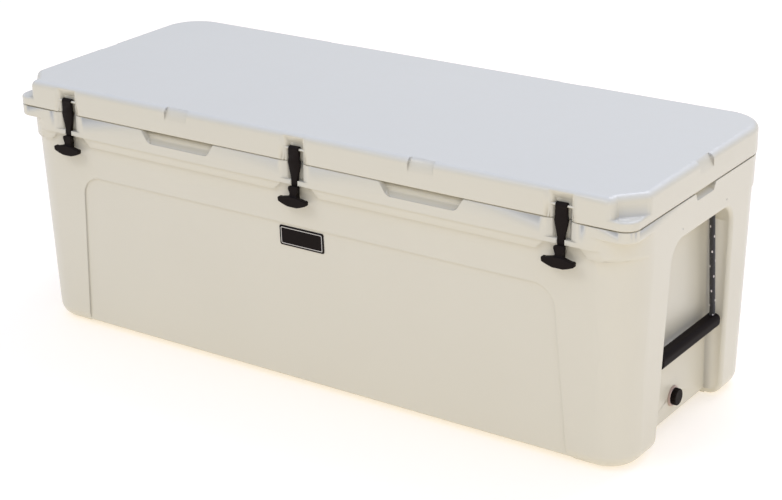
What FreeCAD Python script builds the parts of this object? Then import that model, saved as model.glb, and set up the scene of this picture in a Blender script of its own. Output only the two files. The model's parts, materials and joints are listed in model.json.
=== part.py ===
import FreeCAD, Part
import math
import os

# Large rotomoulded ice chest. Millimetres, +Z up, +X along the length, the front faces -Y.
# The origin is on the floor, under the middle of the chest.

V = FreeCAD.Vector
os.makedirs("parts", exist_ok=True)

# Overall sizes
chest_length = 1540.0
flange_depth = 606.0
rim_height = 517.0
parting_gap = 2.0
lid_thickness = 59.0
draft_deg = 2.0

# Tub outside
wall_setback = 10.0
wall_corner_radius = 90.0
bottom_edge_radius = 34.0
foot_clearance = 2.0
underside_height = 14.0
foot_length = 118.0
foot_bevel = 16.0
band_bottom = 450.0
band_corner_radius = 95.0
strip_top = 470.0
strip_setback = 5.0
lip_bottom = 494.0
lip_corner_radius = 32.0
rim_edge_radius = 3.0
lip_edge_radius = 4.0

# Front and rear panels, pressed into the walls
panel_top = 375.5
panel_half_top = 598.0
panel_flare = 30.0
panel_corner_radius = 50.0
panel_depth = 4.0

# End recesses for the rope handles
recess_depth = 57.0
recess_top = 440.0
recess_half_top = 130.0
recess_half_bottom = 146.0
recess_corner_radius = 42.0
recess_mouth_radius = 9.0
end_offset = 5.0

# Finger scoops under the lid
scoop_offset = 308.0
scoop_half_top = 98.0
scoop_half_bottom = 80.0
scoop_drop = 27.0
scoop_depth = 15.0
end_scoop_half = 44.0
end_scoop_drop = 16.0

# Cavity, skins and foam
cavity_length = 1334.0
cavity_width = 464.0
cavity_draft = 12.0
cavity_corner_radius = 45.0
cavity_floor = 52.0
cavity_floor_radius = 20.0
skin = 6.0
foam_fit = 0.3
tub_foam_front_margin = 23.0

# Lid
lid_rear_radius = 88.0
lid_top_radius = 14.0
ledge_height = 19.0
ledge_run = 43.0
ledge_end_run = 71.0
ledge_wall = 20.0
edge_notch_half = 30.0
edge_notch_depth = 14.0
edge_notch_drop = 32.0
plug_depth = 25.0
plug_clearance = 6.0

# Gasket
gasket_inset = 9.0
gasket_width = 10.0
groove_depth = 4.0
seal_gap = 0.3

# Latches
latch_spacing = 620.0
latch_pivot_rise = 29.0
latch_pivot_depth = 6.0
latch_barrel_radius = 6.5
latch_half = 12.0
latch_bulge_half = 14.0
latch_neck_half = 7.0
latch_face_depth = 0.5
latch_thickness = 8.0
latch_head_half = 12.0
latch_head_thickness = 5.0
latch_head_gap = 0.6
latch_grip_half = 36.0
latch_grip_front = 12.0
latch_grip_height = 22.0
latch_hook_gap = 2.0
keeper_height = 10.0
keeper_clearance = 2.0
pocket_half = 34.0
pocket_inner_half = 15.5
pocket_knee = 4.5
pocket_depth = 13.0
pin_radius = 2.5
pin_seat = 8.0
running_fit = 0.05

# Hinge
hinge_offset = 2.0
knuckle_radius = 10.0
knuckle_gap = 1.0
knuckle_count = 11
hinge_length = 1320.0
rod_radius = 4.0

# Rope handles
rope_diameter = 12.0
rope_fit = 0.3
rope_inset = 32.0
rope_half_top = 96.0
rope_half_bottom = 120.0
rope_bend = 24.0
rope_seat = 34.0
rope_pivot_drop = 8.0
rope_pin_rise = 21.0
rope_pin_radius = 2.0
rope_pin_depth = 42.0
grip_height = 184.0
grip_half_length = 130.0
grip_width = 30.0
grip_depth = 29.0

# Drain
drain_height = 55.0
drain_bore_radius = 9.0
drain_tube_radius = 14.0
drain_flange_radius = 22.0
drain_flange_thickness = 1.6
drain_nut_radius = 22.0
drain_nut_thickness = 7.0
drain_washer_thickness = 1.6
drain_washer_radius = 21.0
drain_knob_radius = 18.0
drain_knob_length = 11.0
drain_shank_length = 30.0
drain_rib_count = 12

# Name plate and feet
plate_width = 112.0
plate_height = 44.0
plate_thickness = 2.0
plate_centre_height = 346.0
pad_radius = 22.0
pad_thickness = 6.0

half_length = chest_length / 2
half_depth = flange_depth / 2
front = -half_depth
draft = math.tan(math.radians(draft_deg))
recess_back = half_length - recess_depth
lid_bottom = rim_height + parting_gap
lid_top = lid_bottom + lid_thickness
pivot_height = rim_height + latch_pivot_rise
pivot_y = front + latch_pivot_depth
hinge_y = half_depth + hinge_offset
hinge_z = rim_height + parting_gap / 2
rope_x = half_length - rope_inset
rope_pivot_z = recess_top - rope_pivot_drop
rope_radius = rope_diameter / 2
rope_places = (end_offset - rope_half_top, end_offset + rope_half_top)
latch_places = {"left": -latch_spacing, "centre": 0.0, "right": latch_spacing}


def rounded_wire(corners, place):
    """A closed outline through (u, v, radius) corners, each rounded to its radius."""
    ends = []
    count = len(corners)
    for i in range(count):
        u, v, radius = corners[i]
        before = V(corners[i - 1][0] - u, corners[i - 1][1] - v, 0).normalize()
        after_corner = corners[(i + 1) % count]
        after = V(after_corner[0] - u, after_corner[1] - v, 0).normalize()
        half_angle = before.getAngle(after) / 2
        reach = radius / math.tan(half_angle)
        middle = (before + after).normalize()
        far = radius / math.sin(half_angle) - radius
        points = [V(u, v, 0) + before * reach, V(u, v, 0) + middle * far, V(u, v, 0) + after * reach]
        ends.append([place(p.x, p.y) for p in points])
    edges = []
    for i in range(count):
        start, middle, end = ends[i]
        if corners[i][2] > 0:
            edges.append(Part.Arc(start, middle, end).toShape())
        following = ends[(i + 1) % count][0]
        if end.distanceToPoint(following) > 1e-6:
            edges.append(Part.LineSegment(end, following).toShape())
    return Part.Wire(edges)


def prism(corners, place, along):
    return Part.Face(rounded_wire(corners, place)).extrude(along)


def in_xy(z):
    return lambda u, v: V(u, v, z)


def in_xz(y):
    return lambda u, v: V(u, y, v)


def in_yz(x):
    return lambda u, v: V(x, u, v)


def plan(length_half, depth_half, front_radius, rear_radius, z):
    corners = [
        (length_half, -depth_half, front_radius),
        (length_half, depth_half, rear_radius),
        (-length_half, depth_half, rear_radius),
        (-length_half, -depth_half, front_radius),
    ]
    return rounded_wire(corners, in_xy(z))


def tapered(lower, upper):
    return Part.makeLoft([lower, upper], True, True)


def block(x0, x1, y0, y1, z0, z1):
    return Part.makeBox(x1 - x0, y1 - y0, z1 - z0, V(x0, y0, z0))


def rod_x(radius, x0, x1, y, z):
    return Part.makeCylinder(radius, x1 - x0, V(x0, y, z), V(1, 0, 0))


def mirrored(shape):
    return shape.mirror(V(0, 0, 0), V(1, 0, 0))


def both_ends(shape):
    return [shape, mirrored(shape)]


def joined(first, others):
    """One solid, with faces on the same surface merged where that can be done."""
    whole = first.fuse(others)
    try:
        return whole.removeSplitter()
    except Part.OCCError:
        return whole


def edges_at(shape, z, keep=lambda box: True):
    level = [e for e in shape.Edges if abs(e.BoundBox.ZMin - z) < 0.01 and abs(e.BoundBox.ZMax - z) < 0.01]
    return [e for e in level if keep(e.BoundBox)]


def export(shape, node):
    shape.exportStep("parts/" + node + ".step")
    print(node, len(shape.Solids), round(shape.Volume / 1000.0, 1), "cm3", shape.isValid())


# ---------------------------------------------------------------- tub outside

def inset_at(z):
    """How far the drafted walls stand in from their place at the rim."""
    return (rim_height - z) * draft


def wall_half_depth(z):
    return half_depth - wall_setback - inset_at(z)


def wall_half_length(z):
    return half_length - inset_at(z)


def tub_wall():
    outlines = []
    for z in (foot_clearance, rim_height):
        radius = wall_corner_radius - inset_at(z)
        outlines.append(plan(wall_half_length(z), wall_half_depth(z), radius, radius, z))
    wall = tapered(*outlines)
    return wall.makeFillet(bottom_edge_radius, edges_at(wall, foot_clearance))


def end_recess():
    slope = (recess_half_bottom - recess_half_top) / recess_top
    below = 40.0
    corners = [
        (-recess_half_top, recess_top, recess_corner_radius),
        (recess_half_top, recess_top, recess_corner_radius),
        (recess_half_bottom + slope * below, -below, 0),
        (-recess_half_bottom - slope * below, -below, 0),
    ]
    shape = prism(corners, in_yz(recess_back), V(recess_depth * 2, 0, 0))
    shape.translate(V(0, end_offset, 0))
    return shape


def recess_mouth_edges(wall):
    """The edges where a recess breaks the drafted end face, down to the feet."""
    mouth = []
    for edge in wall.Edges:
        box = edge.BoundBox
        reach = max(abs(box.XMin), abs(box.XMax))
        inner = min(abs(box.XMin), abs(box.XMax))
        near_end = reach > wall_half_length(foot_clearance + bottom_edge_radius) - 0.5
        on_face = inner > recess_back + recess_depth / 2
        inside = max(abs(box.YMin), abs(box.YMax)) < recess_half_bottom + end_offset + 2
        if near_end and on_face and inside and box.ZMax < recess_top + 1 and box.ZMin > foot_clearance:
            mouth.append(edge)
    return mouth


def underside():
    """The raised underside between the four feet, as two crossing channels."""
    foot_inner = wall_half_length(0) - foot_length
    across = recess_half_bottom + end_offset + 2
    rise = underside_height
    long_channel = [
        (-foot_inner - foot_bevel, -5, 0),
        (foot_inner + foot_bevel, -5, 0),
        (foot_inner, rise, 6),
        (-foot_inner, rise, 6),
    ]
    side_channel = [(-across, -5, 0), (across, -5, 0), (across, rise, 0), (-across, rise, 0)]
    first = prism(long_channel, in_xz(-half_depth), V(0, flange_depth, 0))
    second = prism(side_channel, in_yz(-half_length), V(chest_length, 0, 0))
    return [first, second]


def panel(side):
    """The volume pressed out of a wall: side is -1 at the front and 1 at the rear."""
    below = 20.0
    half_bottom = panel_half_top + panel_flare
    corners = [
        (-panel_half_top, panel_top, panel_corner_radius),
        (panel_half_top, panel_top, panel_corner_radius),
        (half_bottom, -below, 0),
        (-half_bottom, -below, 0),
    ]
    outline = prism(corners, in_xz(0), V(0, side * half_depth, 0))
    low = wall_half_depth(-below) - panel_depth
    high = wall_half_depth(rim_height) - panel_depth
    sheet = [(side * low, -below, 0), (side * high, rim_height, 0), (side * half_depth * 2, rim_height, 0)]
    sheet.append((side * half_depth * 2, -below, 0))
    beyond = prism(sheet, in_yz(-half_length), V(chest_length, 0, 0))
    return outline.common(beyond)


def latch_zone(x):
    """The gap in the lower strip around each latch grip, with bevelled ends."""
    corners = [
        (x - pocket_half - 2, strip_top, 4),
        (x + pocket_half + 2, strip_top, 4),
        (x + pocket_half + 24, band_bottom - 1, 0),
        (x - pocket_half - 24, band_bottom - 1, 0),
    ]
    return prism(corners, in_xz(front - 2), V(0, wall_setback + 2 + 30, 0))


def band():
    """The reinforcing band under the rim: flat flange above, a set-back strip below."""
    outlines = []
    for z in (band_bottom, rim_height):
        radius = band_corner_radius
        outlines.append(plan(wall_half_length(z), half_depth, radius, radius, z))
    ring = tapered(*outlines)
    strip = block(-half_length, half_length, front - 1, front + strip_setback, band_bottom - 1, strip_top)
    cuts = [strip, strip.mirror(V(0, 0, 0), V(0, 1, 0))]
    cuts += [latch_zone(x) for x in latch_places.values()]
    return ring.cut(cuts)


def lip_corner(side):
    """The square-cornered lip that stands out over the round front corners."""
    bottom = plan(wall_half_length(lip_bottom), half_depth, lip_corner_radius, band_corner_radius, lip_bottom)
    top = plan(half_length, half_depth, lip_corner_radius, band_corner_radius, rim_height)
    plate = tapered(bottom, top)
    plate = plate.makeFillet(lip_edge_radius, edges_at(plate, lip_bottom))
    reach = band_corner_radius + 15
    near = half_length - reach
    box = block(near, half_length + 5, front - 5, front + reach, lip_bottom - 5, rim_height + 5)
    if side < 0:
        box = mirrored(box)
    return plate.common(box)


def pocket(x, z0, z1, mouth_half, inner_half, depth, mouth_radius):
    """A slot in from the front face, with soft shoulders at its mouth."""
    out = 12.0
    knee_half = inner_half + pocket_knee
    knee_depth = depth * 0.42
    knee_radius = min(8.0, mouth_radius)
    right = [
        (x + mouth_half, front, mouth_radius),
        (x + knee_half, front + knee_depth, knee_radius),
        (x + inner_half, front + depth, 3),
    ]
    left = [(2 * x - u, v, radius) for u, v, radius in reversed(right)]
    outer = [(x - mouth_half - out, front, 0), (x - mouth_half - out, front - out, 0)]
    outer += [(x + mouth_half + out, front - out, 0), (x + mouth_half + out, front, 0)]
    return prism(right + left + outer, in_xy(z0), V(0, 0, z1 - z0))


def keeper_slot(x, z0, z1):
    """The narrow slot through the keeper, for the latch neck."""
    half = latch_neck_half + keeper_clearance
    corners = [
        (x - half, front - 5, 0),
        (x + half, front - 5, 0),
        (x + half, front + pocket_depth + 1, 4),
        (x - half, front + pocket_depth + 1, 4),
    ]
    return prism(corners, in_xy(z0), V(0, 0, z1 - z0))


def scoop(half_top, half_bottom, drop, corner):
    """A finger scoop in the front face, centred on x = 0, with a sloping sill."""
    bottom = rim_height - drop
    above = 8.0
    lean = (half_top - half_bottom) / drop * above
    outline = [
        (-half_top - lean, rim_height + above, 0),
        (half_top + lean, rim_height + above, 0),
        (half_bottom, bottom, corner),
        (-half_bottom, bottom, corner),
    ]
    sill = [
        (front - 4, bottom - 4, 0),
        (front + scoop_depth, bottom + 8, 5),
        (front + scoop_depth, rim_height + above, 0),
        (front - 4, rim_height + above, 0),
    ]
    shape = prism(outline, in_xz(front - 4), V(0, scoop_depth + 4, 0))
    return shape.common(prism(sill, in_yz(-half_top * 2), V(half_top * 4, 0, 0)))


def end_scoop():
    shape = scoop(end_scoop_half, end_scoop_half - 8, end_scoop_drop, 6)
    shape.rotate(V(0, 0, 0), V(0, 0, 1), 90)
    shape.translate(V(half_length - half_depth, 0, 0))
    return shape


# ---------------------------------------------------------------- cavity and foam

def cavity(grow, floor, top):
    """The inside of the tub, grown outwards by grow on its walls."""
    share = (rim_height - floor) / (rim_height - cavity_floor)
    outlines = []
    for z, inset in ((floor, cavity_draft * share), (top, 0)):
        radius = cavity_corner_radius - inset + grow
        length_half = cavity_length / 2 - inset + grow
        depth_half = cavity_width / 2 - inset + grow
        outlines.append(plan(length_half, depth_half, radius, radius, z))
    return tapered(*outlines)


def cavity_space():
    shape = cavity(0, cavity_floor, rim_height)
    return shape.makeFillet(cavity_floor_radius, edges_at(shape, cavity_floor))


def tub_foam(gap):
    """The foam between the skins, gap smaller all round than the space that it fills."""
    low = underside_height + skin + gap
    high = rim_height - skin - gap
    outer = []
    for z, depth_half in ((low, wall_half_depth(low) - panel_depth - skin), (high, half_depth - tub_foam_front_margin)):
        outer.append(plan(recess_back - skin - gap, depth_half - gap, 40, 40, z))
    inner = cavity(skin + gap, cavity_floor - skin - gap, high + 1)
    boss = rod_x(drain_flange_radius + 4 + gap, cavity_length / 2 - 60 - gap, half_length, end_offset, drain_height)
    return tapered(*outer).cut([inner, boss])


def lid_foam(gap):
    depth_half = half_depth - pocket_depth - skin - 3 - gap
    length_half = half_length - 24 - gap
    low = lid_bottom + groove_depth + skin + gap
    high = lid_top - skin - gap
    upper = tapered(plan(length_half, depth_half, 80, 80, low), plan(length_half - 4, depth_half - 4, 76, 76, high))
    plug_low = lid_bottom - plug_depth + skin + gap
    inset = plug_clearance + skin + gap
    radius = cavity_corner_radius
    plug = plan(cavity_length / 2 - inset - 2, cavity_width / 2 - inset - 2, radius, radius, plug_low)
    plug_top = plan(cavity_length / 2 - inset, cavity_width / 2 - inset, radius, radius, low + 1)
    return joined(upper, [tapered(plug, plug_top)])


# ---------------------------------------------------------------- hinge

def knuckle_span(i):
    pitch = hinge_length / knuckle_count
    start = -hinge_length / 2 + i * pitch
    return start + knuckle_gap / 2, start + pitch - knuckle_gap / 2


def knuckle(i, side):
    """One hinge knuckle with its web: side is -1 on the tub and 1 on the lid."""
    x0, x1 = knuckle_span(i)
    barrel = rod_x(knuckle_radius, x0, x1, hinge_y, hinge_z)
    foot = half_depth - 6
    reach = 20.0
    tangent = hinge_z + side * reach
    web = [
        (foot, hinge_z + side * parting_gap / 2, 0),
        (hinge_y, hinge_z + side * parting_gap / 2, 0),
        (hinge_y + knuckle_radius - 2, hinge_z + side * 6, 0),
        (half_depth, tangent, 0),
        (foot, tangent, 0),
    ]
    return barrel.fuse(prism(web, in_yz(x0), V(x1 - x0, 0, 0)))


def knuckles(side):
    first = 0 if side < 0 else 1
    return [knuckle(i, side) for i in range(first, knuckle_count, 2)]


def knuckle_clearances(side):
    """Round pockets that let the other half's knuckles turn."""
    first = 1 if side < 0 else 0
    pockets = []
    for i in range(first, knuckle_count, 2):
        x0, x1 = knuckle_span(i)
        pockets.append(rod_x(knuckle_radius + 1.5, x0 - knuckle_gap, x1 + knuckle_gap, hinge_y, hinge_z))
    return pockets


def hinge_bore():
    return rod_x(rod_radius + running_fit, -hinge_length / 2 - 1, hinge_length / 2 + 1, hinge_y, hinge_z)


# ---------------------------------------------------------------- rope handles, right end

def rope_wire(z_top):
    """The line of a handle rope: two legs, spread towards the grip, and two bends."""
    slope = (rope_half_bottom - rope_half_top) / (rope_pivot_z - grip_height)
    top_half = rope_half_top - slope * (z_top - rope_pivot_z)
    corner = V(rope_half_bottom, grip_height, 0)
    up = V(top_half - corner.x, z_top - corner.y, 0).normalize()
    half_angle = up.getAngle(V(-1, 0, 0)) / 2
    reach = rope_bend / math.tan(half_angle)
    middle = (up + V(-1, 0, 0)).normalize() * (rope_bend / math.sin(half_angle) - rope_bend)
    points = [corner + up * reach, corner + middle, corner + V(-reach, 0, 0)]
    right = [V(rope_x, end_offset + p.x, p.y) for p in points]
    left = [V(rope_x, end_offset - p.x, p.y) for p in points]
    edges = [
        Part.LineSegment(V(rope_x, end_offset + top_half, z_top), right[0]).toShape(),
        Part.Arc(*right).toShape(),
        Part.LineSegment(right[2], left[2]).toShape(),
        Part.Arc(left[2], left[1], left[0]).toShape(),
        Part.LineSegment(left[0], V(rope_x, end_offset - top_half, z_top)).toShape(),
    ]
    return Part.Wire(edges)


def swept_rope(radius, z_top):
    path = rope_wire(z_top)
    start = path.Vertexes[0].Point
    heading = path.Edges[0].tangentAt(path.Edges[0].FirstParameter)
    section = Part.Wire(Part.makeCircle(radius, start, heading))
    return path.makePipeShell([section], True, False)


def handle_rope():
    rope = swept_rope(rope_radius, rope_pivot_z)
    balls = [Part.makeSphere(rope_radius, V(rope_x, y, rope_pivot_z)) for y in rope_places]
    return joined(rope, balls)


def handle_grip():
    half_width = grip_width / 2
    half_height = grip_depth / 2
    corners = [
        (rope_x - half_width, grip_height - half_height, 11),
        (rope_x + half_width, grip_height - half_height, 11),
        (rope_x + half_width, grip_height + half_height, 11),
        (rope_x - half_width, grip_height + half_height, 11),
    ]
    place = lambda u, v: V(u, end_offset - grip_half_length, v)
    bar = prism(corners, place, V(0, 2 * grip_half_length, 0))
    ends = [e for e in bar.Edges if e.BoundBox.YLength < 0.01]
    bar = bar.makeFillet(7, ends)
    return bar.cut(swept_rope(rope_radius + rope_fit, grip_height + grip_depth))


def rope_pin_z():
    return recess_top + rope_pin_rise


def rope_ends():
    """The two rope ends, up in their holes in the rim, each with its pin hole."""
    low = rope_pivot_z + rope_radius + rope_fit
    ends = []
    for y in rope_places:
        end = Part.makeCylinder(rope_radius, recess_top + rope_seat - low, V(rope_x, y, low))
        ends.append(end.cut(rod_x(rope_pin_radius + running_fit, rope_x - 20, rope_x + 20, y, rope_pin_z())))
    return ends


def rope_holes():
    holes = []
    for y in rope_places:
        hole = Part.makeCylinder(rope_radius + rope_fit, rope_seat + 1 + 5, V(rope_x, y, recess_top - 5))
        holes.append(hole)
        holes.append(rod_x(rope_pin_radius + running_fit, half_length - rope_pin_depth, half_length + 1, y, rope_pin_z()))
    return holes


def rope_pins():
    face = wall_half_length(rope_pin_z()) - 0.5
    start = half_length - rope_pin_depth + 0.2
    return [rod_x(rope_pin_radius, start, face, y, rope_pin_z()) for y in rope_places]


# ---------------------------------------------------------------- drain, right end

def cavity_end_at(z):
    return cavity_length / 2 - cavity_draft * (rim_height - z) / (rim_height - cavity_floor)


def drain_tube():
    inner_end = cavity_end_at(drain_height) - drain_nut_thickness - 3
    tube = rod_x(drain_tube_radius, inner_end, recess_back + 1, end_offset, drain_height)
    flange = rod_x(drain_flange_radius, recess_back, recess_back + drain_flange_thickness, end_offset, drain_height)
    bore = rod_x(drain_bore_radius, inner_end - 5, recess_back + 40, end_offset, drain_height)
    return joined(tube, [flange]).cut(bore)


def drain_nut():
    face = cavity_end_at(drain_height) + 1
    corners = []
    for i in range(6):
        angle = math.radians(60 * i + 30)
        radius = drain_nut_radius * 0.5
        corners.append((end_offset + radius * math.cos(angle) * 1.7, drain_height + radius * math.sin(angle) * 1.7, 2))
    nut = prism(corners, in_yz(face - drain_nut_thickness), V(drain_nut_thickness, 0, 0))
    return nut.cut(rod_x(drain_tube_radius + running_fit, face - 40, face + 10, end_offset, drain_height))


def drain_sump():
    """The flat round seat for the nut, sunk into the cavity's end wall and floor."""
    face = cavity_end_at(drain_height) + 1
    return rod_x(drain_nut_radius - 1.5, face - drain_nut_thickness - 8, face, end_offset, drain_height)


def drain_washer():
    x0 = recess_back + drain_flange_thickness + foam_fit
    ring = rod_x(drain_washer_radius, x0, x0 + drain_washer_thickness, end_offset, drain_height)
    return ring.cut(rod_x(drain_bore_radius, x0 - 1, x0 + 10, end_offset, drain_height))


def drain_plug():
    x0 = recess_back + drain_flange_thickness + drain_washer_thickness + 2 * foam_fit
    knob = rod_x(drain_knob_radius, x0, x0 + drain_knob_length, end_offset, drain_height)
    rim = [e for e in knob.Edges if e.BoundBox.XLength < 0.01 and e.BoundBox.XMax > x0 + 1]
    knob = knob.makeFillet(3, rim)
    flutes = []
    for i in range(drain_rib_count):
        angle = 2 * math.pi * i / drain_rib_count
        y = end_offset + (drain_knob_radius + 1.6) * math.cos(angle)
        z = drain_height + (drain_knob_radius + 1.6) * math.sin(angle)
        flutes.append(rod_x(3.2, x0 + 2.5, x0 + drain_knob_length + 1, y, z))
    shank = rod_x(drain_bore_radius - foam_fit, x0 - drain_shank_length, x0 + 1, end_offset, drain_height)
    return joined(knob.cut(flutes), [shank])


# ---------------------------------------------------------------- tub

def foot_places():
    inset = foot_length / 2 - 2
    x = wall_half_length(foot_clearance) - bottom_edge_radius - pad_radius - 8
    y = wall_half_depth(foot_clearance) - bottom_edge_radius - pad_radius - 6
    x = min(x, wall_half_length(foot_clearance) - inset)
    return {"front_left": (-x, -y), "front_right": (x, -y), "rear_left": (-x, y), "rear_right": (x, y)}


def tub_shell():
    wall = tub_wall().cut(both_ends(end_recess()))
    wall = wall.makeFillet(recess_mouth_radius, recess_mouth_edges(wall))
    wall = wall.cut(underside() + [panel(-1), panel(1)])
    shell = joined(wall, [band(), lip_corner(1), lip_corner(-1)] + knuckles(-1))
    keeper_top = strip_top + keeper_height
    cuts = [cavity_space(), cavity(0, rim_height - 1, rim_height + 1)]
    for x in latch_places.values():
        cuts.append(pocket(x, keeper_top, rim_height + 30, pocket_half, pocket_inner_half, pocket_depth, 24))
        cuts.append(keeper_slot(x, band_bottom - 1, keeper_top + 1))
    for x in (-scoop_offset, scoop_offset):
        shape = scoop(scoop_half_top, scoop_half_bottom, scoop_drop, 16)
        shape.translate(V(x, 0, 0))
        cuts.append(shape)
    cuts += both_ends(end_scoop())
    cuts += knuckle_clearances(-1) + [hinge_bore(), tub_foam(0)]
    for hole in rope_holes():
        cuts += both_ends(hole)
    cuts.append(rod_x(drain_tube_radius + running_fit, cavity_length / 2 - 60, recess_back + 10, end_offset, drain_height))
    cuts.append(drain_sump())
    for x, y in foot_places().values():
        cuts.append(Part.makeCylinder(pad_radius + foam_fit, pad_thickness + foam_fit + 1, V(x, y, -1)))
    return shell.cut(cuts)


# ---------------------------------------------------------------- lid

def upper_outline(z):
    """The lid's outline above the ledges, stepped in round the two front corners."""
    step_x = half_length - ledge_run
    half = [
        (half_length, half_depth, lid_rear_radius),
        (half_length, front + ledge_end_run, 22),
        (step_x, front + ledge_wall + 3, 5),
        (step_x, front, lid_top_radius + 0.5),
    ]
    left = [(-u, v, radius) for u, v, radius in reversed(half)]
    return rounded_wire(half + left, in_xy(z))


def lid_upper():
    shape = Part.Face(upper_outline(lid_bottom)).extrude(V(0, 0, lid_thickness))
    shape = shape.makeFillet(lid_top_radius, edges_at(shape, lid_top))
    return shape.makeFillet(rim_edge_radius, edges_at(shape, lid_bottom))


def corner_ledge(side):
    """The low ledge that runs on round a front corner under the step."""
    outline = plan(half_length, half_depth, lip_corner_radius, lid_rear_radius, lid_bottom)
    plate = Part.Face(outline).extrude(V(0, 0, ledge_height))
    plate = plate.makeFillet(5, edges_at(plate, lid_bottom + ledge_height))
    plate = plate.makeFillet(rim_edge_radius, edges_at(plate, lid_bottom))
    near = half_length - ledge_run - 22
    area = block(near, half_length + 5, front - 5, front + ledge_end_run + 25, lid_bottom - 1, lid_top)
    return plate.common(area if side > 0 else mirrored(area))


def edge_notch():
    """A shallow strap notch across the lid's front top edge, centred on x = 0."""
    low = lid_top - edge_notch_drop
    slope = [
        (front - 6, low - 6, 0),
        (front + edge_notch_depth, lid_top + 1, 0),
        (front - 6, lid_top + 1, 0),
    ]
    wedge = prism(slope, in_yz(-edge_notch_half), V(2 * edge_notch_half, 0, 0))
    sides = [
        (-edge_notch_half - 10, front - 8, 0),
        (edge_notch_half + 10, front - 8, 0),
        (edge_notch_half - 4, front + edge_notch_depth + 2, 0),
        (-edge_notch_half + 4, front + edge_notch_depth + 2, 0),
    ]
    return wedge.common(prism(sides, in_xy(low - 10), V(0, 0, edge_notch_drop + 20)))


def edge_notches():
    places = []
    for x in (-scoop_offset, scoop_offset):
        near = edge_notch()
        near.translate(V(x, 0, 0))
        places += [near, near.mirror(V(0, 0, 0), V(0, 1, 0))]
    side = edge_notch()
    side.rotate(V(0, 0, 0), V(0, 0, 1), 90)
    side.translate(V(half_length - half_depth, 0, 0))
    return places + both_ends(side)


def lid_pocket(x):
    """The latch recess: full depth beside the barrel, running out at the lid's top edge."""
    shape = pocket(x, lid_bottom - 1, lid_top + 5, pocket_half, pocket_inner_half + 0.5, pocket_depth + 1, 24)
    roof = [
        (front - 15, lid_bottom - 2, 0),
        (front + pocket_depth + 2, lid_bottom - 2, 0),
        (front + pocket_depth + 2, pivot_height + latch_barrel_radius + 2, 8),
        (front + 3, lid_top - 4, 0),
        (front - 15, lid_top - 4, 0),
    ]
    return shape.common(prism(roof, in_yz(x - 60), V(120, 0, 0)))


def pin_half():
    """Half a latch pin: across the recess at the pin's depth, and into both walls."""
    return pocket_inner_half + pocket_knee + pin_seat


def gasket_ring(inset, width, z0, z1):
    radius = cavity_corner_radius + inset
    rings = []
    for grow in (inset + width, inset):
        outline = plan(cavity_length / 2 + grow, cavity_width / 2 + grow, radius, radius, z0)
        rings.append(Part.Face(outline).extrude(V(0, 0, z1 - z0)))
    return rings[0].cut(rings[1])


def lid_plug():
    inset = plug_clearance
    radius = cavity_corner_radius - inset
    low = lid_bottom - plug_depth
    bottom = plan(cavity_length / 2 - inset - 2, cavity_width / 2 - inset - 2, radius - 2, radius - 2, low)
    top = plan(cavity_length / 2 - inset, cavity_width / 2 - inset, radius, radius, lid_bottom + 1)
    plug = tapered(bottom, top)
    return plug.makeFillet(8, edges_at(plug, low))


def lid_shell():
    lid = lid_upper().cut(edge_notches())
    lid = joined(lid, [corner_ledge(-1), corner_ledge(1), lid_plug()] + knuckles(1))
    cuts = [gasket_ring(gasket_inset - 0.3, gasket_width + 0.6, lid_bottom - 1, lid_bottom + groove_depth)]
    for x in latch_places.values():
        cuts.append(lid_pocket(x))
        bore_half = pin_half() + 0.3
        cuts.append(rod_x(pin_radius + running_fit, x - bore_half, x + bore_half, pivot_y, pivot_height))
    cuts += knuckle_clearances(1) + [hinge_bore(), lid_foam(0)]
    return lid.cut(cuts)


# ---------------------------------------------------------------- latches

def latch(x):
    """A rubber T-latch: barrel, bulged strap, neck and grip bar, in one piece."""
    face = front + latch_face_depth
    back = face + latch_thickness
    head_top = strip_top - latch_hook_gap
    head_bottom = head_top - 26
    strap = [
        (latch_half, pivot_height, 0),
        (latch_half, rim_height + 10, 0),
        (latch_bulge_half, rim_height, 6),
        (latch_neck_half, strip_top + keeper_height + 4, 8),
        (latch_neck_half, head_bottom, 0),
    ]
    head = [
        (latch_head_half - 1, head_top, 3),
        (latch_head_half, head_top - 6, 3),
        (latch_head_half - 4, head_bottom + 9, 5),
        (latch_head_half + 2, head_bottom - 3, 0),
    ]
    grip = [
        (latch_head_half - 2, head_bottom + 5, 8),
        (latch_grip_half - 8, head_bottom + 1, 3),
        (latch_grip_half, head_bottom + 1, 3),
        (latch_grip_half - 1, head_bottom - 9, 4),
        (latch_grip_half - 14, head_bottom - 14, 10),
        (12, head_bottom + 5 - latch_grip_height, 14),
    ]
    solids = []
    head_front = front - latch_head_gap - latch_head_thickness
    for half, y0, y1 in ((strap, face, back), (head, head_front, front - latch_head_gap), (grip, front - latch_grip_front, front - 0.3)):
        right = [(x + u, v, radius) for u, v, radius in half]
        left = [(x - u, v, radius) for u, v, radius in reversed(half)]
        solids.append(prism(right + left, in_xz(y0), V(0, y1 - y0, 0)))
    rims = [e for e in solids[2].Edges if e.BoundBox.YLength < 0.01]
    solids[2] = solids[2].makeFillet(2.2, rims)
    neck_half = latch_neck_half
    solids.append(block(x - neck_half, x + neck_half, head_front + 1, back, head_bottom - 4, head_top - 1))
    barrel = rod_x(latch_barrel_radius, x - latch_half, x + latch_half, pivot_y, pivot_height)
    rims = [e for e in barrel.Edges if e.BoundBox.XLength < 0.01]
    shape = joined(barrel.makeFillet(1.2, rims), solids)
    return shape.cut(rod_x(pin_radius + running_fit, x - 30, x + 30, pivot_y, pivot_height))


def latch_pin(x):
    return rod_x(pin_radius, x - pin_half(), x + pin_half(), pivot_y, pivot_height)


# ---------------------------------------------------------------- small pieces

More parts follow.
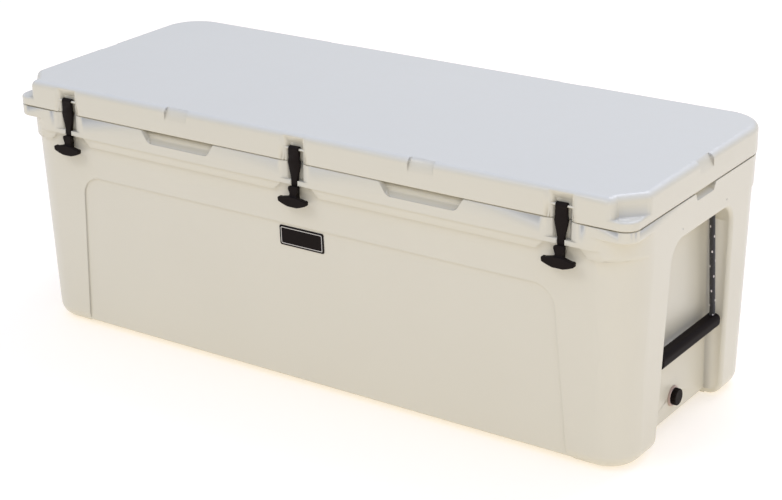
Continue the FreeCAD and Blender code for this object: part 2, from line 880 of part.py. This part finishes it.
def name_plate():
    """A blank plate, flat on the front panel."""
    corners = [
        (-plate_width / 2, -plate_height / 2, 4),
        (plate_width / 2, -plate_height / 2, 4),
        (plate_width / 2, plate_height / 2, 4),
        (-plate_width / 2, plate_height / 2, 4),
    ]
    plate = prism(corners, in_xz(0), V(0, -plate_thickness, 0))
    rims = [e for e in plate.Edges if e.BoundBox.YLength < 0.01 and e.BoundBox.YMax < -plate_thickness / 2]
    plate = plate.makeFillet(0.6, rims)
    plate.rotate(V(0, 0, 0), V(1, 0, 0), draft_deg)
    seat = wall_half_depth(plate_centre_height) - panel_depth + 0.02
    plate.translate(V(0, -seat, plate_centre_height))
    return plate


def foot_pad(x, y):
    pad = Part.makeCylinder(pad_radius, pad_thickness, V(x, y, 0))
    rims = [e for e in pad.Edges if e.BoundBox.ZMax < 0.01]
    return pad.makeFillet(1.2, rims)


def hinge_rod(side):
    middle = 0.5
    outer = hinge_length / 2 - 1
    rod = rod_x(rod_radius, middle, outer, hinge_y, hinge_z)
    return rod if side > 0 else mirrored(rod)


export(tub_shell(), "tub_shell")
export(tub_foam(foam_fit), "tub_foam")
export(lid_shell(), "lid_shell")
export(lid_foam(foam_fit), "lid_foam")
export(gasket_ring(gasket_inset, gasket_width, rim_height + seal_gap, lid_bottom + groove_depth - 0.1), "lid_gasket")
export(hinge_rod(-1), "hinge_rod_left")
export(hinge_rod(1), "hinge_rod_right")
for place_name, latch_x in latch_places.items():
    export(latch(latch_x), "latch_" + place_name)
    export(latch_pin(latch_x), "latch_pin_" + place_name)
for end_name, turn in (("right", lambda s: s), ("left", mirrored)):
    export(turn(handle_rope()), "handle_rope_" + end_name)
    export(turn(handle_grip()), "handle_grip_" + end_name)
    export(Part.makeCompound([turn(s) for s in rope_ends()]), "rope_ends_" + end_name)
    export(Part.makeCompound([turn(s) for s in rope_pins()]), "rope_pins_" + end_name)
export(drain_tube(), "drain_tube")
export(drain_nut(), "drain_nut")
export(drain_washer(), "drain_washer")
export(drain_plug(), "drain_plug")
for corner_name, (pad_x, pad_y) in foot_places().items():
    export(foot_pad(pad_x, pad_y), "foot_" + corner_name)
export(name_plate(), "name_plate")
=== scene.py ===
import json
import math
import bmesh
import bpy
from mathutils import Matrix, Vector


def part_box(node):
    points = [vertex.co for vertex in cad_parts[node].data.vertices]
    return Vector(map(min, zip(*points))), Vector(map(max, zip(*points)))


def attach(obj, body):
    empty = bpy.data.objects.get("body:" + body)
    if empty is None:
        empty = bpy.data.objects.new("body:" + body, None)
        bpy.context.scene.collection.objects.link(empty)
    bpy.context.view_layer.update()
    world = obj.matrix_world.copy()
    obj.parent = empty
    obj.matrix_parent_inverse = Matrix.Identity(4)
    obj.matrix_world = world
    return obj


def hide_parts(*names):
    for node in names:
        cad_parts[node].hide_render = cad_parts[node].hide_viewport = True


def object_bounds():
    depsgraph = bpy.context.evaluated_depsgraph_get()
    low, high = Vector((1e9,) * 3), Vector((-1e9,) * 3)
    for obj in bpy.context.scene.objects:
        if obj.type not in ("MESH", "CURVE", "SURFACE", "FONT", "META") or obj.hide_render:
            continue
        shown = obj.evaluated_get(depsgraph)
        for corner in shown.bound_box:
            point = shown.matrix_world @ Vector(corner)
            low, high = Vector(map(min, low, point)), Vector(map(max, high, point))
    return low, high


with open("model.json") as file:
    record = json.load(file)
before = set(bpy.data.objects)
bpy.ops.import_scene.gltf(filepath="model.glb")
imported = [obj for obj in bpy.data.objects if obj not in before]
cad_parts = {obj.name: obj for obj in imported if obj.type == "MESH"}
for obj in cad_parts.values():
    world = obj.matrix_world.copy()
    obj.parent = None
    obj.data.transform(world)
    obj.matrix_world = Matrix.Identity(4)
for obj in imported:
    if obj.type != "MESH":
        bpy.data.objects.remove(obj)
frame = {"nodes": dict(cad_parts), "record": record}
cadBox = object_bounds()
bodyOf = {node: body for body, nodes in frame["record"]["behaviour"]["bodies"].items() for node in nodes}
print("frame loaded:", len(frame["nodes"]), "nodes")


# camera

cameraSettings = {
    "azimuth": 34.755,
    "elevation": 21.736,
    "roll": -1.09,
    "distance": 4.2831,
    "aimHeight": 0.3,
    "aside": 0.0215,
    "upwards": -0.0696,
    "lens": 90.49,
}


def placeCamera(s):
    az, el, roll = (math.radians(s[k]) for k in ("azimuth", "elevation", "roll"))
    back = Vector((math.sin(az) * math.cos(el), -math.cos(az) * math.cos(el), math.sin(el)))
    right = Vector((math.cos(az), math.sin(az), 0))
    up = back.cross(right)
    place = Vector((0, 0, s["aimHeight"])) + back * s["distance"] + right * s["aside"] + up * s["upwards"]
    tiltedRight = right * math.cos(roll) + up * math.sin(roll)
    tiltedUp = up * math.cos(roll) - right * math.sin(roll)
    data = bpy.data.cameras.new("chestCamera")
    data.lens = s["lens"]
    data.sensor_width = 36
    data.sensor_fit = "HORIZONTAL"
    data.clip_end = 60
    camera = bpy.data.objects.new("chestCamera", data)
    axes = Matrix((tiltedRight, tiltedUp, back)).transposed()
    camera.matrix_world = Matrix.Translation(place) @ axes.to_4x4()
    bpy.context.collection.objects.link(camera)
    bpy.context.scene.camera = camera


placeCamera(cameraSettings)


# studio

studioSettings = {
    "floorColour": (0.60, 0.56, 0.50, 1),
    "floorGlow": (1.0, 0.93, 0.82, 1),
    "floorGlowStrength": 0.58,
    "floorHalf": 9.0,
    "zenith": (0.64, 0.78, 1.20, 1),
    "horizon": (0.64, 0.60, 0.51, 1),
    "lamps": [
        {
            "name": "keyBox", "place": (-1.2, -3.6, 4.2), "aim": (0, 0, 0.3),
            "size": 1.2, "power": 34, "colour": (1.0, 0.97, 0.92),
        },
        {
            "name": "endBox", "place": (5.0, -0.1, 1.2), "aim": (0.7, 0, 0.3),
            "size": 1.3, "power": 9, "colour": (1.0, 0.86, 0.70),
        },
        {
            "name": "fillBox", "place": (3.0, -3.0, 1.5), "aim": (0.4, 0, 0.3),
            "size": 1.0, "power": 16, "colour": (1.0, 0.92, 0.80),
        },
        {
            "name": "topBox", "place": (0.6, 2.2, 3.8), "aim": (0, 0, 0.5),
            "size": 2.4, "power": 57, "colour": (0.96, 0.97, 1.06),
        },
    ],
}


def buildStudio(s):
    world = bpy.data.worlds.new("studioWorld")
    world.use_nodes = True
    tree = world.node_tree
    split = tree.nodes.new("ShaderNodeSeparateXYZ")
    tree.links.new(tree.nodes.new("ShaderNodeTexCoord").outputs["Generated"], split.inputs[0])
    ramp = tree.nodes.new("ShaderNodeValToRGB")
    ramp.color_ramp.elements[0].position = 0.12
    ramp.color_ramp.elements[0].color = s["horizon"]
    ramp.color_ramp.elements[1].position = 0.75
    ramp.color_ramp.elements[1].color = s["zenith"]
    tree.links.new(split.outputs["Z"], ramp.inputs[0])
    tree.links.new(ramp.outputs[0], tree.nodes["Background"].inputs["Color"])
    bpy.context.scene.world = world
    mesh = bpy.data.meshes.new("studioFloor")
    half = s["floorHalf"]
    mesh.from_pydata([(-half, -half, 0), (half, -half, 0), (half, half, 0), (-half, half, 0)], [], [(0, 1, 2, 3)])
    floor = bpy.data.objects.new("studioFloor", mesh)
    bpy.context.collection.objects.link(floor)
    paper = bpy.data.materials.new("studioPaper")
    paper.use_nodes = True
    shader = paper.node_tree.nodes["Principled BSDF"]
    shader.inputs["Base Color"].default_value = s["floorColour"]
    shader.inputs["Roughness"].default_value = 0.9
    shader.inputs["Specular IOR Level"].default_value = 0.1
    shader.inputs["Emission Color"].default_value = s["floorGlow"]
    shader.inputs["Emission Strength"].default_value = s["floorGlowStrength"]
    mesh.materials.append(paper)
    for lamp in s["lamps"]:
        data = bpy.data.lights.new(lamp["name"], "AREA")
        data.size = lamp["size"]
        data.energy = lamp["power"]
        data.color = lamp["colour"]
        light = bpy.data.objects.new(lamp["name"], data)
        light.location = lamp["place"]
        aim = Vector(lamp["aim"]) - Vector(lamp["place"])
        light.rotation_euler = aim.to_track_quat("-Z", "Y").to_euler()
        bpy.context.collection.objects.link(light)
    bpy.context.scene.view_settings.view_transform = "Standard"
    bpy.context.scene.view_settings.look = "None"


buildStudio(studioSettings)
print("camera and studio placed")


# shared surface effects

def newGroup(name, inputs, outputs):
    tree = bpy.data.node_groups.new(name, "ShaderNodeTree")
    for label, value in inputs:
        socket = tree.interface.new_socket(label, in_out="INPUT", socket_type="NodeSocketFloat")
        socket.default_value = value
    for label in outputs:
        tree.interface.new_socket(label, in_out="OUTPUT", socket_type="NodeSocketFloat")
    return tree, tree.nodes.new("NodeGroupInput"), tree.nodes.new("NodeGroupOutput")


def mathNode(tree, operation, first, second):
    node = tree.nodes.new("ShaderNodeMath")
    node.operation = operation
    for i, value in enumerate((first, second)):
        if isinstance(value, (int, float)):
            node.inputs[i].default_value = value
        else:
            tree.links.new(value, node.inputs[i])
    return node.outputs[0]


def noiseNode(tree, vector, scale, detail):
    node = tree.nodes.new("ShaderNodeTexNoise")
    node.inputs["Detail"].default_value = detail
    tree.links.new(vector, node.inputs["Vector"])
    if isinstance(scale, (int, float)):
        node.inputs["Scale"].default_value = scale
    else:
        tree.links.new(scale, node.inputs["Scale"])
    return node.outputs[0]


def mouldGrainGroup():
    tree, given, result = newGroup("mouldGrain", [("Grain Scale", 900), ("Ripple Scale", 14)], ["Height", "Cloud"])
    coords = tree.nodes.new("ShaderNodeTexCoord").outputs["Object"]
    fine = noiseNode(tree, coords, given.outputs["Grain Scale"], 2)
    ripple = noiseNode(tree, coords, given.outputs["Ripple Scale"], 2)
    coarse = mathNode(tree, "MULTIPLY", ripple, 1.6)
    tree.links.new(mathNode(tree, "ADD", fine, coarse), result.inputs["Height"])
    broad = noiseNode(tree, coords, 3.1, 4)
    tree.links.new(broad, result.inputs["Cloud"])
    return tree


def dustGroup():
    tree, given, result = newGroup("settledDust", [("Amount", 0.3)], ["Mask"])
    normal = tree.nodes.new("ShaderNodeNewGeometry").outputs["Normal"]
    split = tree.nodes.new("ShaderNodeSeparateXYZ")
    tree.links.new(normal, split.inputs[0])
    facing = mathNode(tree, "MAXIMUM", split.outputs["Z"], 0)
    coords = tree.nodes.new("ShaderNodeTexCoord").outputs["Object"]
    specks = noiseNode(tree, coords, 60, 4)
    masked = mathNode(tree, "MULTIPLY", facing, specks)
    tree.links.new(mathNode(tree, "MULTIPLY", masked, given.outputs["Amount"]), result.inputs["Mask"])
    return tree


mouldGrain = mouldGrainGroup()
settledDust = dustGroup()


def blendColour(tree, mask, first, second):
    node = tree.nodes.new("ShaderNodeMix")
    node.data_type = "RGBA"
    tree.links.new(mask, node.inputs["Factor"])
    for label, value in ((6, first), (7, second)):
        if isinstance(value, tuple):
            node.inputs[label].default_value = (*value, 1)
        else:
            tree.links.new(value, node.inputs[label])
    return node.outputs[2]


def rangeNode(tree, value, low, high):
    node = tree.nodes.new("ShaderNodeMapRange")
    node.inputs["From Min"].default_value = 0.3
    node.inputs["From Max"].default_value = 0.7
    node.inputs["To Min"].default_value = low
    node.inputs["To Max"].default_value = high
    tree.links.new(value, node.inputs["Value"])
    return node.outputs[0]


def mouldedMaterial(s):
    material = bpy.data.materials.new(s["name"])
    material.use_nodes = True
    tree = material.node_tree
    shader = tree.nodes["Principled BSDF"]
    grain = tree.nodes.new("ShaderNodeGroup")
    grain.node_tree = mouldGrain
    grain.inputs["Grain Scale"].default_value = s["grainScale"]
    grain.inputs["Ripple Scale"].default_value = s["rippleScale"]
    dust = tree.nodes.new("ShaderNodeGroup")
    dust.node_tree = settledDust
    dust.inputs["Amount"].default_value = s["dust"]
    cloudy = blendColour(tree, grain.outputs["Cloud"], s["colour"], s["shade"])
    dusty = blendColour(tree, dust.outputs["Mask"], cloudy, s["dustColour"])
    tree.links.new(dusty, shader.inputs["Base Color"])
    tree.links.new(rangeNode(tree, grain.outputs["Cloud"], *s["roughness"]), shader.inputs["Roughness"])
    bump = tree.nodes.new("ShaderNodeBump")
    bump.inputs["Strength"].default_value = s["bump"]
    bump.inputs["Distance"].default_value = s["bumpDepth"]
    tree.links.new(grain.outputs["Height"], bump.inputs["Height"])
    tree.links.new(bump.outputs[0], shader.inputs["Normal"])
    shader.inputs["Specular IOR Level"].default_value = s.get("specular", 0.5)
    shader.inputs["Coat Weight"].default_value = s.get("coat", 0)
    shader.inputs["Coat Roughness"].default_value = 0.25
    return material


chestPlastic = mouldedMaterial({
    "name": "ivoryPolyethylene", "colour": (0.672, 0.628, 0.500), "shade": (0.646, 0.600, 0.474),
    "dustColour": (0.74, 0.72, 0.68),
    "dust": 0.10, "grainScale": 850.0, "rippleScale": 22.0,
    "roughness": (0.32, 0.40), "bump": 0.12, "bumpDepth": 0.0004,
    "specular": 0.5, "coat": 0.3,
})
latchRubber = mouldedMaterial({
    "name": "latchRubber", "colour": (0.007, 0.004, 0.003), "shade": (0.012, 0.008, 0.006),
    "dustColour": (0.06, 0.05, 0.04),
    "dust": 0.06, "grainScale": 1400.0, "rippleScale": 60.0,
    "roughness": (0.5, 0.62), "bump": 0.3, "bumpDepth": 0.0003, "specular": 0.1,
})
gripPlastic = mouldedMaterial({
    "name": "gripPlastic", "colour": (0.006, 0.003, 0.002), "shade": (0.010, 0.006, 0.005),
    "dustColour": (0.05, 0.04, 0.03),
    "dust": 0.05, "grainScale": 1100.0, "rippleScale": 40.0,
    "roughness": (0.5, 0.6), "bump": 0.25, "bumpDepth": 0.0003, "specular": 0.09,
})
sealRubber = mouldedMaterial({
    "name": "sealRubber", "colour": (0.05, 0.05, 0.05), "shade": (0.08, 0.08, 0.08), "dustColour": (0.2, 0.2, 0.2),
    "dust": 0.1, "grainScale": 700.0, "rippleScale": 30.0,
    "roughness": (0.7, 0.85), "bump": 0.3, "bumpDepth": 0.0004,
})
drainNylon = mouldedMaterial({
    "name": "drainNylon", "colour": (0.62, 0.47, 0.40), "shade": (0.56, 0.42, 0.35), "dustColour": (0.7, 0.66, 0.6),
    "dust": 0.1, "grainScale": 1500.0, "rippleScale": 50.0,
    "roughness": (0.3, 0.4), "bump": 0.2, "bumpDepth": 0.0002,
})
pouredFoam = mouldedMaterial({
    "name": "pouredFoam", "colour": (0.80, 0.72, 0.46), "shade": (0.72, 0.63, 0.38), "dustColour": (0.8, 0.75, 0.6),
    "dust": 0.1, "grainScale": 300.0, "rippleScale": 40.0,
    "roughness": (0.85, 0.95), "bump": 0.9, "bumpDepth": 0.002,
})
plateBorder = mouldedMaterial({
    "name": "plateBorder", "colour": (0.55, 0.52, 0.46), "shade": (0.47, 0.44, 0.39), "dustColour": (0.7, 0.68, 0.62),
    "dust": 0.1, "grainScale": 1500.0, "rippleScale": 60.0,
    "roughness": (0.35, 0.45), "bump": 0.15, "bumpDepth": 0.0002,
})


def steelMaterial():
    material = bpy.data.materials.new("brushedRod")
    material.use_nodes = True
    tree = material.node_tree
    shader = tree.nodes["Principled BSDF"]
    coords = tree.nodes.new("ShaderNodeTexCoord").outputs["Object"]
    stretch = tree.nodes.new("ShaderNodeMapping")
    stretch.inputs["Scale"].default_value = (1, 60, 60)
    tree.links.new(coords, stretch.inputs["Vector"])
    lines = noiseNode(tree, stretch.outputs[0], 40, 3)
    tree.links.new(blendColour(tree, lines, (0.50, 0.50, 0.51), (0.66, 0.66, 0.66)), shader.inputs["Base Color"])
    tree.links.new(rangeNode(tree, lines, 0.25, 0.42), shader.inputs["Roughness"])
    shader.inputs["Metallic"].default_value = 1
    return material


def ropeMaterial():
    material = bpy.data.materials.new("braidedRope")
    material.use_nodes = True
    tree = material.node_tree
    shader = tree.nodes["Principled BSDF"]
    coords = tree.nodes.new("ShaderNodeTexCoord").outputs["Object"]
    waves = []
    for turn in (38, -38):
        mapping = tree.nodes.new("ShaderNodeMapping")
        mapping.inputs["Rotation"].default_value = (math.radians(turn), 0, math.radians(turn * 0.4))
        tree.links.new(coords, mapping.inputs["Vector"])
        wave = tree.nodes.new("ShaderNodeTexWave")
        wave.bands_direction = "Z"
        wave.inputs["Scale"].default_value = 130
        wave.inputs["Distortion"].default_value = 0.6
        tree.links.new(mapping.outputs[0], wave.inputs["Vector"])
        waves.append(wave.outputs["Fac"])
    braid = mathNode(tree, "MAXIMUM", waves[0], waves[1])
    fibre = noiseNode(tree, coords, 1600, 2)
    height = mathNode(tree, "ADD", braid, mathNode(tree, "MULTIPLY", fibre, 0.5))
    tree.links.new(blendColour(tree, braid, (0.006, 0.005, 0.005), (0.03, 0.027, 0.025)), shader.inputs["Base Color"])
    bump = tree.nodes.new("ShaderNodeBump")
    bump.inputs["Strength"].default_value = 0.8
    bump.inputs["Distance"].default_value = 0.0009
    tree.links.new(height, bump.inputs["Height"])
    tree.links.new(bump.outputs[0], shader.inputs["Normal"])
    shader.inputs["Roughness"].default_value = 0.75
    shader.inputs["Sheen Weight"].default_value = 0.25
    return material


def fleckMaterial():
    material = bpy.data.materials.new("ropeTracer")
    material.use_nodes = True
    tree = material.node_tree
    shader = tree.nodes["Principled BSDF"]
    coords = tree.nodes.new("ShaderNodeTexCoord").outputs["Object"]
    fibre = noiseNode(tree, coords, 1800, 2)
    tree.links.new(blendColour(tree, fibre, (0.62, 0.55, 0.52), (0.80, 0.76, 0.72)), shader.inputs["Base Color"])
    shader.inputs["Roughness"].default_value = 0.8
    return material


rodSteel = steelMaterial()
braidedRope = ropeMaterial()
ropeTracer = fleckMaterial()
print("materials ready")


# pieces that keep their CAD shape, merged and smoothed

smoothSettings = {
    "tub_shell": {"name": "tubSkin", "material": chestPlastic, "sharp": 32},
    "lid_shell": {"name": "lidSkin", "material": chestPlastic, "sharp": 32},
    "latch_left": {"name": "latchLeftRubber", "material": latchRubber, "sharp": 38},
    "latch_centre": {"name": "latchCentreRubber", "material": latchRubber, "sharp": 38},
    "latch_right": {"name": "latchRightRubber", "material": latchRubber, "sharp": 38},
    "handle_grip_left": {"name": "gripLeft", "material": gripPlastic, "sharp": 40},
    "handle_grip_right": {"name": "gripRight", "material": gripPlastic, "sharp": 40},
    "rope_pins_left": {"name": "ropePinsLeft", "material": rodSteel, "sharp": 40},
    "rope_pins_right": {"name": "ropePinsRight", "material": rodSteel, "sharp": 40},
    "drain_tube": {"name": "drainTube", "material": drainNylon, "sharp": 40},
    "drain_nut": {"name": "drainNut", "material": gripPlastic, "sharp": 30},
    "drain_washer": {"name": "drainRing", "material": drainNylon, "sharp": 40},
    "drain_plug": {"name": "drainKnob", "material": gripPlastic, "sharp": 34},
    "name_plate": {"name": "blankPlate", "material": gripPlastic, "sharp": 40},
    "lid_gasket": {"name": "lidSeal", "material": sealRubber, "sharp": 40},
    "foot_front_left": {"name": "padFrontLeft", "material": latchRubber, "sharp": 40},
    "foot_front_right": {"name": "padFrontRight", "material": latchRubber, "sharp": 40},
    "foot_rear_left": {"name": "padRearLeft", "material": latchRubber, "sharp": 40},
    "foot_rear_right": {"name": "padRearRight", "material": latchRubber, "sharp": 40},
}


def smoothCopy(node, s):
    mesh = frame["nodes"][node].data.copy()
    mesh.name = s["name"]
    bm = bmesh.new()
    bm.from_mesh(mesh)
    bmesh.ops.remove_doubles(bm, verts=bm.verts, dist=0.00001)
    bmesh.ops.dissolve_degenerate(bm, edges=bm.edges, dist=0.000005)
    bm.to_mesh(mesh)
    bm.free()
    mesh.materials.clear()
    mesh.materials.append(s["material"])
    mesh.polygons.foreach_set("material_index", [0] * len(mesh.polygons))
    mesh.polygons.foreach_set("use_smooth", [True] * len(mesh.polygons))
    mesh.set_sharp_from_angle(angle=math.radians(s["sharp"]))
    piece = bpy.data.objects.new(s["name"], mesh)
    bpy.context.collection.objects.link(piece)
    normals = piece.modifiers.new("evenShading", "WEIGHTED_NORMAL")
    normals.keep_sharp = True
    normals.weight = 60
    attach(piece, bodyOf[node])
    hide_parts(node)
    return piece


for node, settings in smoothSettings.items():
    smoothCopy(node, settings)

plainNodes = {
    "tub_foam": pouredFoam,
    "lid_foam": pouredFoam,
    "hinge_rod_left": rodSteel,
    "hinge_rod_right": rodSteel,
    "latch_pin_left": chestPlastic,
    "latch_pin_centre": chestPlastic,
    "latch_pin_right": chestPlastic,
    "rope_ends_left": braidedRope,
    "rope_ends_right": braidedRope,
}
for node, material in plainNodes.items():
    mesh = frame["nodes"][node].data
    if not mesh.materials:
        mesh.materials.append(material)
    for i in range(len(mesh.materials)):
        mesh.materials[i] = material
print("shells, latches, grips and trim dressed")


# rope handles

ropeSettings = {
    "inset": 0.032,
    "middle": 0.005,
    "halfTop": 0.096,
    "halfBottom": 0.120,
    "pivotHeight": 0.432,
    "gripHeight": 0.184,
    "legPoint": (0.1153, 0.232),
    "runPoint": 0.072,
    "diameter": 0.012,
    "length": 0.713,
    "fleckSpacing": 0.0112,
    "fleckTwist": 137.0,
    "fleckSink": 0.0006,
    "fleckSize": (0.0011, 0.0017, 0.0034),
}


def ropePoints(side):
    s = ropeSettings
    x = side * (cadBox[1][0] - s["inset"])
    legY, legZ = s["legPoint"]
    half = [(x, s["halfTop"], s["pivotHeight"]), (x, legY, legZ)]
    half += [(x, s["halfBottom"], s["gripHeight"]), (x, s["runPoint"], s["gripHeight"])]
    return [(a, s["middle"] - b, c) for a, b, c in half] + [(a, s["middle"] + b, c) for a, b, c in half[::-1]]


def ropeCurve(name, side, bevel):
    data = bpy.data.curves.new(name, "CURVE")
    data.dimensions = "3D"
    data.resolution_u = 16
    spline = data.splines.new("NURBS")
    points = ropePoints(side)
    spline.points.add(len(points) - 1)
    for point, place in zip(spline.points, points):
        point.co = (*place, 1)
    spline.order_u = 3
    spline.use_endpoint_u = True
    data.bevel_depth = bevel
    data.bevel_resolution = 6
    data.use_fill_caps = bevel > 0
    rope = bpy.data.objects.new(name, data)
    bpy.context.collection.objects.link(rope)
    return rope


def fleckTree():
    tree = bpy.data.node_groups.new("ropeFlecks", "GeometryNodeTree")
    tree.interface.new_socket("Geometry", in_out="INPUT", socket_type="NodeSocketGeometry")
    inputs = {}
    kinds = {label: "NodeSocketFloat" for label in ("Spacing", "Offset", "Twist")}
    kinds["Size"] = "NodeSocketVector"
    for label, kind in kinds.items():
        inputs[label] = tree.interface.new_socket(label, in_out="INPUT", socket_type=kind).identifier
    tree.interface.new_socket("Geometry", in_out="OUTPUT", socket_type="NodeSocketGeometry")
    add, link = tree.nodes.new, tree.links.new
    given, result = add("NodeGroupInput"), add("NodeGroupOutput")
    points = add("GeometryNodeCurveToPoints")
    points.mode = "LENGTH"
    link(given.outputs["Geometry"], points.inputs["Curve"])
    link(given.outputs["Spacing"], points.inputs["Length"])
    bead = add("GeometryNodeMeshIcoSphere")
    bead.inputs["Radius"].default_value = 1
    bead.inputs["Subdivisions"].default_value = 2
    shape = add("GeometryNodeTransform")
    link(bead.outputs["Mesh"], shape.inputs["Geometry"])
    link(given.outputs["Size"], shape.inputs["Scale"])
    shift = add("ShaderNodeCombineXYZ")
    link(given.outputs["Offset"], shift.inputs["X"])
    link(shift.outputs[0], shape.inputs["Translation"])
    index = add("GeometryNodeInputIndex")
    angle = add("ShaderNodeMath")
    angle.operation = "MULTIPLY"
    link(index.outputs[0], angle.inputs[0])
    link(given.outputs["Twist"], angle.inputs[1])
    spin = add("ShaderNodeCombineXYZ")
    link(angle.outputs[0], spin.inputs["Z"])
    turned = add("FunctionNodeRotateRotation")
    turned.rotation_space = "LOCAL"
    link(points.outputs["Rotation"], turned.inputs["Rotation"])
    link(spin.outputs[0], turned.inputs["Rotate By"])
    placed = add("GeometryNodeInstanceOnPoints")
    link(points.outputs["Points"], placed.inputs["Points"])
    link(shape.outputs["Geometry"], placed.inputs["Instance"])
    link(turned.outputs["Rotation"], placed.inputs["Rotation"])
    real = add("GeometryNodeRealizeInstances")
    link(placed.outputs["Instances"], real.inputs["Geometry"])
    smooth = add("GeometryNodeSetShadeSmooth")
    link(real.outputs["Geometry"], smooth.inputs["Geometry"])
    finish = add("GeometryNodeSetMaterial")
    finish.inputs["Material"].default_value = ropeTracer
    link(smooth.outputs["Geometry"], finish.inputs["Geometry"])
    link(finish.outputs["Geometry"], result.inputs["Geometry"])
    return tree, inputs


def bakeTree(carrier, tree, inputs, values, name):
    modifier = carrier.modifiers.new("pattern", "NODES")
    modifier.node_group = tree
    for label, value in values.items():
        modifier[inputs[label]] = value
    graph = bpy.context.evaluated_depsgraph_get()
    mesh = bpy.data.meshes.new_from_object(carrier.evaluated_get(graph))
    mesh.name = name
    carrier.modifiers.remove(modifier)
    bpy.data.objects.remove(carrier)
    piece = bpy.data.objects.new(name, mesh)
    bpy.context.collection.objects.link(piece)
    return piece


def ropeTips(name, side):
    bm = bmesh.new()
    radius = ropeSettings["diameter"] / 2
    for place in (ropePoints(side)[0], ropePoints(side)[-1]):
        bmesh.ops.create_uvsphere(bm, u_segments=24, v_segments=14, radius=radius, matrix=Matrix.Translation(place))
    mesh = bpy.data.meshes.new(name)
    bm.to_mesh(mesh)
    bm.free()
    mesh.polygons.foreach_set("use_smooth", [True] * len(mesh.polygons))
    mesh.materials.append(braidedRope)
    piece = bpy.data.objects.new(name, mesh)
    bpy.context.collection.objects.link(piece)
    return piece


fleckNodes, fleckInputs = fleckTree()
for label, side in (("Left", -1), ("Right", 1)):
    body = "handle_" + label.lower()
    rope = ropeCurve("handleRope" + label, side, ropeSettings["diameter"] / 2)
    rope.data.materials.append(braidedRope)
    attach(rope, body)
    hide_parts("handle_rope_" + label.lower())
    ropePoints(side)[0]
    tips = ropeTips("ropeTips" + label, side)
    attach(tips, body)
    values = {
        "Spacing": ropeSettings["fleckSpacing"],
        "Offset": ropeSettings["diameter"] / 2 - ropeSettings["fleckSink"],
        "Twist": math.radians(ropeSettings["fleckTwist"]),
        "Size": ropeSettings["fleckSize"],
    }
    flecks = bakeTree(ropeCurve("fleckLine" + label, side, 0), fleckNodes, fleckInputs, values, "ropeFlecks" + label)
    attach(flecks, body)
print("rope handles made")


# pale border on the name plate

borderSettings = {
    "margin": 0.0035, "line": 0.0016, "proud": 0.0003, "sunk": 0.0004, "clearance": 0.00001,
    "corner": 0.003, "steps": 6, "lean": 2.0,
}


def roundedLoop(halfWide, halfHigh, corner, steps):
    points = []
    for cx, cz, start in ((1, 1, 0), (-1, 1, 90), (-1, -1, 180), (1, -1, 270)):
        for i in range(steps + 1):
            angle = math.radians(start + 90 * i / steps)
            across = cx * (halfWide - corner) + corner * math.cos(angle)
            upward = cz * (halfHigh - corner) + corner * math.sin(angle)
            points.append((across, upward))
    return points


def plateFrame():
    s = borderSettings
    low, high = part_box("name_plate")
    halfWide = (high[0] - low[0]) / 2 - s["margin"]
    halfHigh = (high[2] - low[2]) / 2 - s["margin"]
    middle = (high[2] + low[2]) / 2
    lean = math.tan(math.radians(s["lean"]))  # the wall's draft
    loops = []
    for inset, depth in ((0, s["sunk"]), (0, -s["proud"]), (s["line"], -s["proud"]), (s["line"], s["sunk"])):
        outline = roundedLoop(halfWide - inset, halfHigh - inset, s["corner"] - inset / 2, s["steps"])
        frontTop = low[1] + s["clearance"]
        loops.append([(x, frontTop + (halfHigh + s["margin"] - z) * lean + depth, z + middle) for x, z in outline])
    count = len(loops[0])
    verts = [p for loop in loops for p in loop]
    faces = []
    for ring in range(4):
        for i in range(count):
            a, b = ring * count + i, ring * count + (i + 1) % count
            c, d = ((ring + 1) % 4) * count + (i + 1) % count, ((ring + 1) % 4) * count + i
            faces.append((a, b, c, d))
    mesh = bpy.data.meshes.new("plateFrame")
    mesh.from_pydata(verts, [], faces)
    bm = bmesh.new()
    bm.from_mesh(mesh)
    bmesh.ops.recalc_face_normals(bm, faces=bm.faces)
    bm.to_mesh(mesh)
    bm.free()
    mesh.materials.append(plateBorder)
    piece = bpy.data.objects.new("plateFrame", mesh)
    bpy.context.collection.objects.link(piece)
    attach(piece, "tub")


plateFrame()
